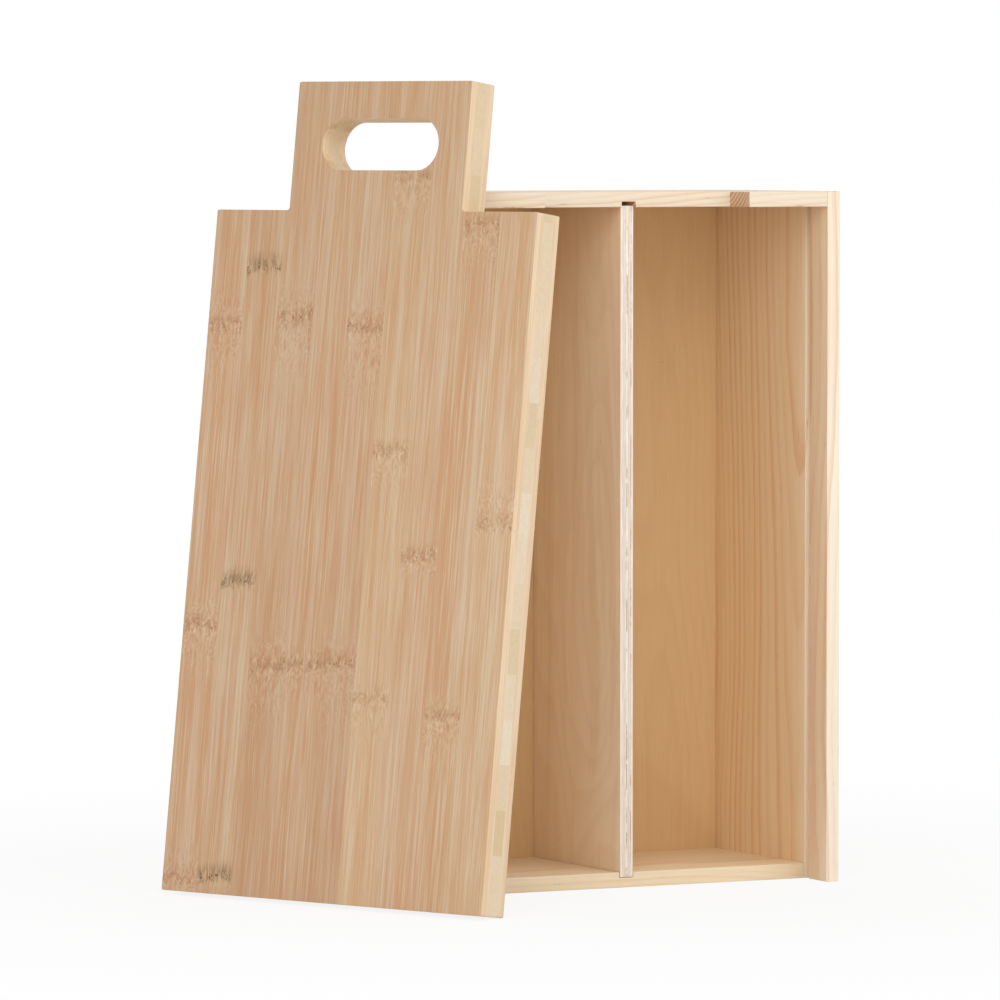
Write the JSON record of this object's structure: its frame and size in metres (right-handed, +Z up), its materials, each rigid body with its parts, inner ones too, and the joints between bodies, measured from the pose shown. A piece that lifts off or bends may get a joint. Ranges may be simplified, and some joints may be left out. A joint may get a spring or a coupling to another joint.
{
  "type": "wooden wine box",
  "caption": "Open-fronted pine box with two tall bottle bays; its lid is a bamboo serving board with a handle, lifted off and leaning on the box.",
  "frame": {"origin": "middle of the box's footprint, on the surface that it stands on, with the leaning lid left out", "axes": "+Z up; -Y out of the open front; +X to the right as seen from the front"},
  "size_m": [0.3231, 0.2071, 0.3934],
  "materials": {
    "pine": "planed and unfinished",
    "plywood": "sanded plywood, unfinished",
    "bamboo_face": "sanded and lightly oiled, satin",
    "bamboo_core": "sanded edge grain, matt",
    "steel": "bright wire brads"
  },
  "bodies": {
    "box": {"side_left": "pine", "side_right": "pine", "top_panel": "pine", "bottom_panel": "pine", "back_panel": "plywood", "corner_brads": "steel", "back_brads": "steel"},
    "divider": {"divider": "plywood"},
    "lid": {"lid_front_strip_01": "bamboo_face", "lid_front_strip_02": "bamboo_face", "lid_front_strip_03": "bamboo_face", "lid_front_strip_04": "bamboo_face", "lid_front_strip_05": "bamboo_face", "lid_front_strip_06": "bamboo_face", "lid_front_strip_07": "bamboo_face", "lid_front_strip_08": "bamboo_face", "lid_front_strip_09": "bamboo_face", "lid_back_strip_01": "bamboo_face", "lid_back_strip_02": "bamboo_face", "lid_back_strip_03": "bamboo_face", "lid_back_strip_04": "bamboo_face", "lid_back_strip_05": "bamboo_face", "lid_back_strip_06": "bamboo_face", "lid_back_strip_07": "bamboo_face", "lid_back_strip_08": "bamboo_face", "lid_back_strip_09": "bamboo_face", "lid_core_strip_01": "bamboo_core", "lid_core_strip_02": "bamboo_core", "lid_core_strip_03": "bamboo_core", "lid_core_strip_04": "bamboo_core", "lid_core_strip_05": "bamboo_core", "lid_core_strip_06": "bamboo_core", "lid_core_strip_07": "bamboo_core", "lid_core_strip_08": "bamboo_core", "lid_core_strip_09": "bamboo_core", "lid_core_strip_10": "bamboo_core", "lid_core_strip_11": "bamboo_core", "lid_core_strip_12": "bamboo_core", "lid_core_strip_13": "bamboo_core", "lid_core_strip_14": "bamboo_core", "lid_core_strip_15": "bamboo_core", "lid_core_strip_16": "bamboo_core", "lid_core_strip_17": "bamboo_core", "lid_core_strip_18": "bamboo_core", "lid_core_strip_19": "bamboo_core"}
  },
  "joints": [
    {"name": "divider_slide", "type": "slide", "parent": "box", "child": "divider", "axis": [0, -1, 0], "range_m": [0, 0.095]},
    {"name": "lid_lift", "type": "slide", "parent": "box", "child": "lid", "axis": [0, 0, 1], "range_m": [0, 0.4]}
  ]
}
